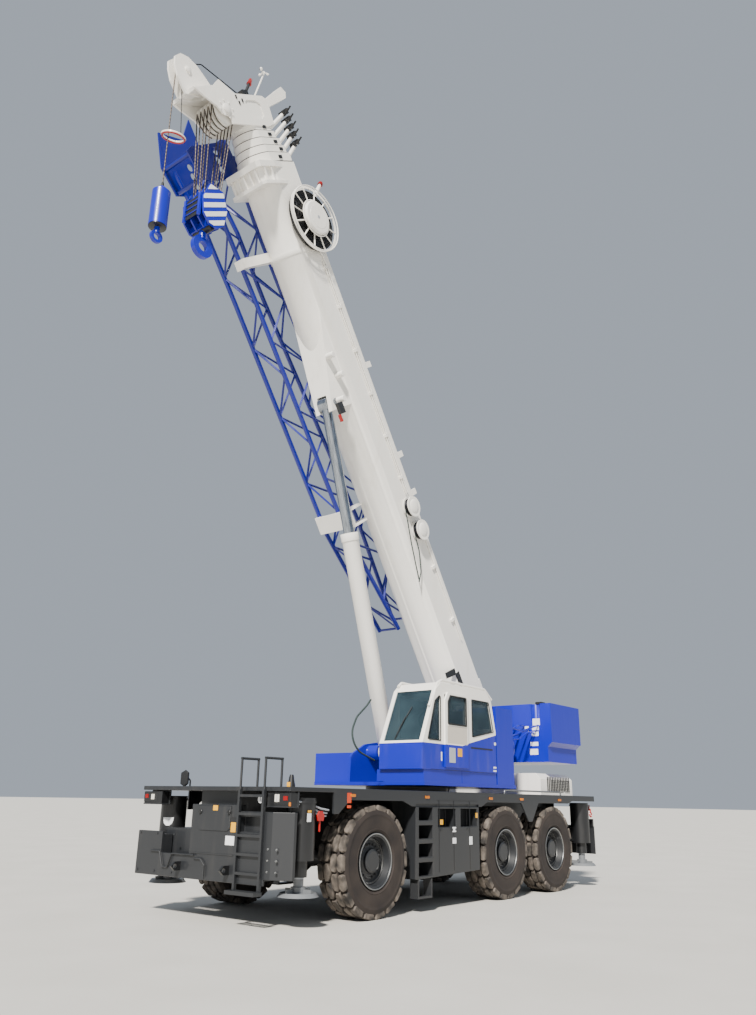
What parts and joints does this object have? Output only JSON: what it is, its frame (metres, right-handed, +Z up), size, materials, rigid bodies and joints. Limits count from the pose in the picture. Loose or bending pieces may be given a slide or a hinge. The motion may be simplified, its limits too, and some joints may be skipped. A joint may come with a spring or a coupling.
{
  "type": "mobile crane",
  "caption": "Rough-terrain mobile crane with steered wheels, sliding outriggers, slewing upper structure with cab, telescopic boom, stowed lattice jib and hook block.",
  "frame": {"origin": "on the ground, under the middle of the bounding box, at rest with the boom raised as in the picture", "axes": "+X to the carrier's front, +Y to its left side, +Z up"},
  "size_m": [12.0718, 3.34, 15.0922],
  "materials": {
    "grey_paint": "satin",
    "white_paint": "gloss",
    "blue_paint": "gloss",
    "black_paint": "satin",
    "red_paint": "gloss",
    "cast_steel": "rough",
    "bright_steel": "polished",
    "tyre_rubber": "matt",
    "glass": "clear",
    "lamp_lens": "clear",
    "black_cloth": "woven"
  },
  "bodies": {
    "carrier": {"chassis_frame": "grey_paint", "axle_beams": "cast_steel", "outrigger_boxes": "grey_paint", "front_body": "grey_paint", "rear_body": "grey_paint", "deck": "grey_paint", "side_lockers": "grey_paint", "engine_hood": "white_paint", "engine_block": "grey_paint", "lamps": "lamp_lens", "ladders": "grey_paint", "tow_eyes": "red_paint"},
    "knuckle_front_left": {"knuckle_front_left": "cast_steel"},
    "wheel_front_left": {"tyre_front_left": "tyre_rubber", "rim_front_left": "grey_paint"},
    "knuckle_front_right": {"knuckle_front_right": "cast_steel"},
    "wheel_front_right": {"tyre_front_right": "tyre_rubber", "rim_front_right": "grey_paint"},
    "knuckle_mid_left": {"knuckle_mid_left": "cast_steel"},
    "wheel_mid_left": {"tyre_mid_left": "tyre_rubber", "rim_mid_left": "grey_paint"},
    "knuckle_mid_right": {"knuckle_mid_right": "cast_steel"},
    "wheel_mid_right": {"tyre_mid_right": "tyre_rubber", "rim_mid_right": "grey_paint"},
    "knuckle_rear_left": {"knuckle_rear_left": "cast_steel"},
    "wheel_rear_left": {"tyre_rear_left": "tyre_rubber", "rim_rear_left": "grey_paint"},
    "knuckle_rear_right": {"knuckle_rear_right": "cast_steel"},
    "wheel_rear_right": {"tyre_rear_right": "tyre_rubber", "rim_rear_right": "grey_paint"},
    "outrigger_beam_front_left": {"outrigger_beam_front_left": "black_paint"},
    "outrigger_jack_front_left": {"outrigger_jack_front_left": "grey_paint"},
    "outrigger_beam_front_right": {"outrigger_beam_front_right": "black_paint"},
    "outrigger_jack_front_right": {"outrigger_jack_front_right": "grey_paint"},
    "outrigger_beam_rear_left": {"outrigger_beam_rear_left": "black_paint"},
    "outrigger_jack_rear_left": {"outrigger_jack_rear_left": "grey_paint"},
    "outrigger_beam_rear_right": {"outrigger_beam_rear_right": "black_paint"},
    "outrigger_jack_rear_right": {"outrigger_jack_rear_right": "grey_paint"},
    "superstructure": {"upper_frame": "blue_paint", "winches": "blue_paint", "counterweight": "blue_paint", "cab_shell": "white_paint", "cab_glass": "glass", "cab_seat": "black_cloth"},
    "cab_door": {"cab_door": "white_paint", "door_glass": "glass"},
    "boom_base": {"boom_base": "white_paint", "jib": "blue_paint", "hose_reels": "white_paint", "boom_fittings": "black_paint"},
    "luff_rod": {"luff_rod": "bright_steel"},
    "luff_barrel": {"luff_barrel": "white_paint"},
    "boom_section_two": {"boom_section_two": "white_paint"},
    "boom_section_three": {"boom_section_three": "white_paint"},
    "boom_section_four": {"boom_section_four": "white_paint"},
    "boom_section_five": {"boom_section_five": "white_paint"},
    "boom_section_six": {"boom_section_six": "white_paint"},
    "hook_block": {"hook_block": "blue_paint"},
    "hook": {"hook": "blue_paint"},
    "overhaul_weight": {"overhaul_weight": "blue_paint"}
  },
  "joints": [
    {"name": "steer_front_left", "type": "hinge", "parent": "carrier", "child": "knuckle_front_left", "pos_m": [1.88414, 1, 0.79], "axis": [0, 0, 1], "range_deg": [-30, 30]},
    {"name": "roll_front_left", "type": "hinge", "parent": "knuckle_front_left", "child": "wheel_front_left", "pos_m": [1.88414, 1.35, 0.79], "axis": [0, 1, 0], "continuous": true},
    {"name": "steer_front_right", "type": "hinge", "parent": "carrier", "child": "knuckle_front_right", "pos_m": [1.88414, -1, 0.79], "axis": [0, 0, 1], "range_deg": [-30, 30]},
    {"name": "roll_front_right", "type": "hinge", "parent": "knuckle_front_right", "child": "wheel_front_right", "pos_m": [1.88414, -1.35, 0.79], "axis": [0, 1, 0], "continuous": true},
    {"name": "steer_mid_left", "type": "hinge", "parent": "carrier", "child": "knuckle_mid_left", "pos_m": [-1.97086, 1, 0.79], "axis": [0, 0, 1], "range_deg": [-18, 18]},
    {"name": "roll_mid_left", "type": "hinge", "parent": "knuckle_mid_left", "child": "wheel_mid_left", "pos_m": [-1.97086, 1.35, 0.79], "axis": [0, 1, 0], "continuous": true},
    {"name": "steer_mid_right", "type": "hinge", "parent": "carrier", "child": "knuckle_mid_right", "pos_m": [-1.97086, -1, 0.79], "axis": [0, 0, 1], "range_deg": [-18, 18]},
    {"name": "roll_mid_right", "type": "hinge", "parent": "knuckle_mid_right", "child": "wheel_mid_right", "pos_m": [-1.97086, -1.35, 0.79], "axis": [0, 1, 0], "continuous": true},
    {"name": "steer_rear_left", "type": "hinge", "parent": "carrier", "child": "knuckle_rear_left", "pos_m": [-3.89586, 1, 0.79], "axis": [0, 0, 1], "range_deg": [-24, 24]},
    {"name": "roll_rear_left", "type": "hinge", "parent": "knuckle_rear_left", "child": "wheel_rear_left", "pos_m": [-3.89586, 1.35, 0.79], "axis": [0, 1, 0], "continuous": true},
    {"name": "steer_rear_right", "type": "hinge", "parent": "carrier", "child": "knuckle_rear_right", "pos_m": [-3.89586, -1, 0.79], "axis": [0, 0, 1], "range_deg": [-24, 24]},
    {"name": "roll_rear_right", "type": "hinge", "parent": "knuckle_rear_right", "child": "wheel_rear_right", "pos_m": [-3.89586, -1.35, 0.79], "axis": [0, 1, 0], "continuous": true},
    {"name": "extend_front_left", "type": "slide", "parent": "carrier", "child": "outrigger_beam_front_left", "axis": [0, 1, 0], "range_m": [0, 2.1]},
    {"name": "lower_front_left", "type": "slide", "parent": "outrigger_beam_front_left", "child": "outrigger_jack_front_left", "axis": [0, 0, -1], "range_m": [0, 0.55]},
    {"name": "extend_front_right", "type": "slide", "parent": "carrier", "child": "outrigger_beam_front_right", "axis": [0, -1, 0], "range_m": [0, 2.1]},
    {"name": "lower_front_right", "type": "slide", "parent": "outrigger_beam_front_right", "child": "outrigger_jack_front_right", "axis": [0, 0, -1], "range_m": [0, 0.55]},
    {"name": "extend_rear_left", "type": "slide", "parent": "carrier", "child": "outrigger_beam_rear_left", "axis": [0, 1, 0], "range_m": [0, 2.1]},
    {"name": "lower_rear_left", "type": "slide", "parent": "outrigger_beam_rear_left", "child": "outrigger_jack_rear_left", "axis": [0, 0, -1], "range_m": [0, 0.55]},
    {"name": "extend_rear_right", "type": "slide", "parent": "carrier", "child": "outrigger_beam_rear_right", "axis": [0, -1, 0], "range_m": [0, 2.1]},
    {"name": "lower_rear_right", "type": "slide", "parent": "outrigger_beam_rear_right", "child": "outrigger_jack_rear_right", "axis": [0, 0, -1], "range_m": [0, 0.55]},
    {"name": "slew", "type": "hinge", "parent": "carrier", "child": "superstructure", "pos_m": [-1.06586, 0, 1.895], "axis": [0, 0, 1], "continuous": true},
    {"name": "door_slide", "type": "slide", "parent": "superstructure", "child": "cab_door", "axis": [-1, 0, 0], "range_m": [0, 0.62]},
    {"name": "boom_luff", "type": "hinge", "parent": "superstructure", "child": "boom_base", "pos_m": [-2.89386, 0, 2.905], "axis": [0, -1, 0], "range_deg": [-56.7, 26.8]},
    {"name": "luff_rod_swing", "type": "hinge", "parent": "boom_base", "child": "luff_rod", "pos_m": [1.66569, 0, 8.86958], "axis": [0, -1, 0], "range_deg": [-16.94, 8.27]},
    {"name": "luff_barrel_slide", "type": "slide", "parent": "luff_rod", "child": "luff_barrel", "axis": [-0.3144, 0, -0.9493], "range_m": [-1.6831, 0.8008]},
    {"name": "extend_section_two", "type": "slide", "parent": "boom_base", "child": "boom_section_two", "axis": [0.5707, 0, 0.8211], "range_m": [0, 9.5]},
    {"name": "extend_section_three", "type": "slide", "parent": "boom_section_two", "child": "boom_section_three", "axis": [0.5707, 0, 0.8211], "range_m": [0, 9.5]},
    {"name": "extend_section_four", "type": "slide", "parent": "boom_section_three", "child": "boom_section_four", "axis": [0.5707, 0, 0.8211], "range_m": [0, 9.5]},
    {"name": "extend_section_five", "type": "slide", "parent": "boom_section_four", "child": "boom_section_five", "axis": [0.5707, 0, 0.8211], "range_m": [0, 9.5]},
    {"name": "extend_section_six", "type": "slide", "parent": "boom_section_five", "child": "boom_section_six", "axis": [0.5707, 0, 0.8211], "range_m": [0, 9.5]},
    {"name": "block_hang", "type": "hinge", "parent": "boom_section_six", "child": "hook_block", "pos_m": [4.97344, 0, 13.36598], "axis": [0, -1, 0], "range_deg": [-27.3, 57.2]},
    {"name": "weight_hang", "type": "hinge", "parent": "boom_section_six", "child": "overhaul_weight", "pos_m": [5.74386, 0, 13.75606], "axis": [0, -1, 0], "range_deg": [-27.3, 57.2]},
    {"name": "hook_swivel", "type": "hinge", "parent": "hook_block", "child": "hook", "pos_m": [4.97344, 0, 11.30598], "axis": [0, 0, 1], "continuous": true}
  ],
  "couplings": [
    {"joint": "steer_front_right", "follows": "steer_front_left", "ratio": 1},
    {"joint": "steer_mid_right", "follows": "steer_mid_left", "ratio": 1},
    {"joint": "steer_rear_right", "follows": "steer_rear_left", "ratio": 1},
    {"joint": "luff_rod_swing", "follows": "boom_luff", "ratio": 0.29},
    {"joint": "luff_barrel_slide", "follows": "boom_luff", "m_per_rad": 1.6907},
    {"joint": "extend_section_three", "follows": "extend_section_two", "ratio": 1},
    {"joint": "extend_section_four", "follows": "extend_section_two", "ratio": 1},
    {"joint": "extend_section_five", "follows": "extend_section_two", "ratio": 1},
    {"joint": "extend_section_six", "follows": "extend_section_two", "ratio": 1},
    {"joint": "block_hang", "follows": "boom_luff", "ratio": -1},
    {"joint": "weight_hang", "follows": "boom_luff", "ratio": -1}
  ]
}
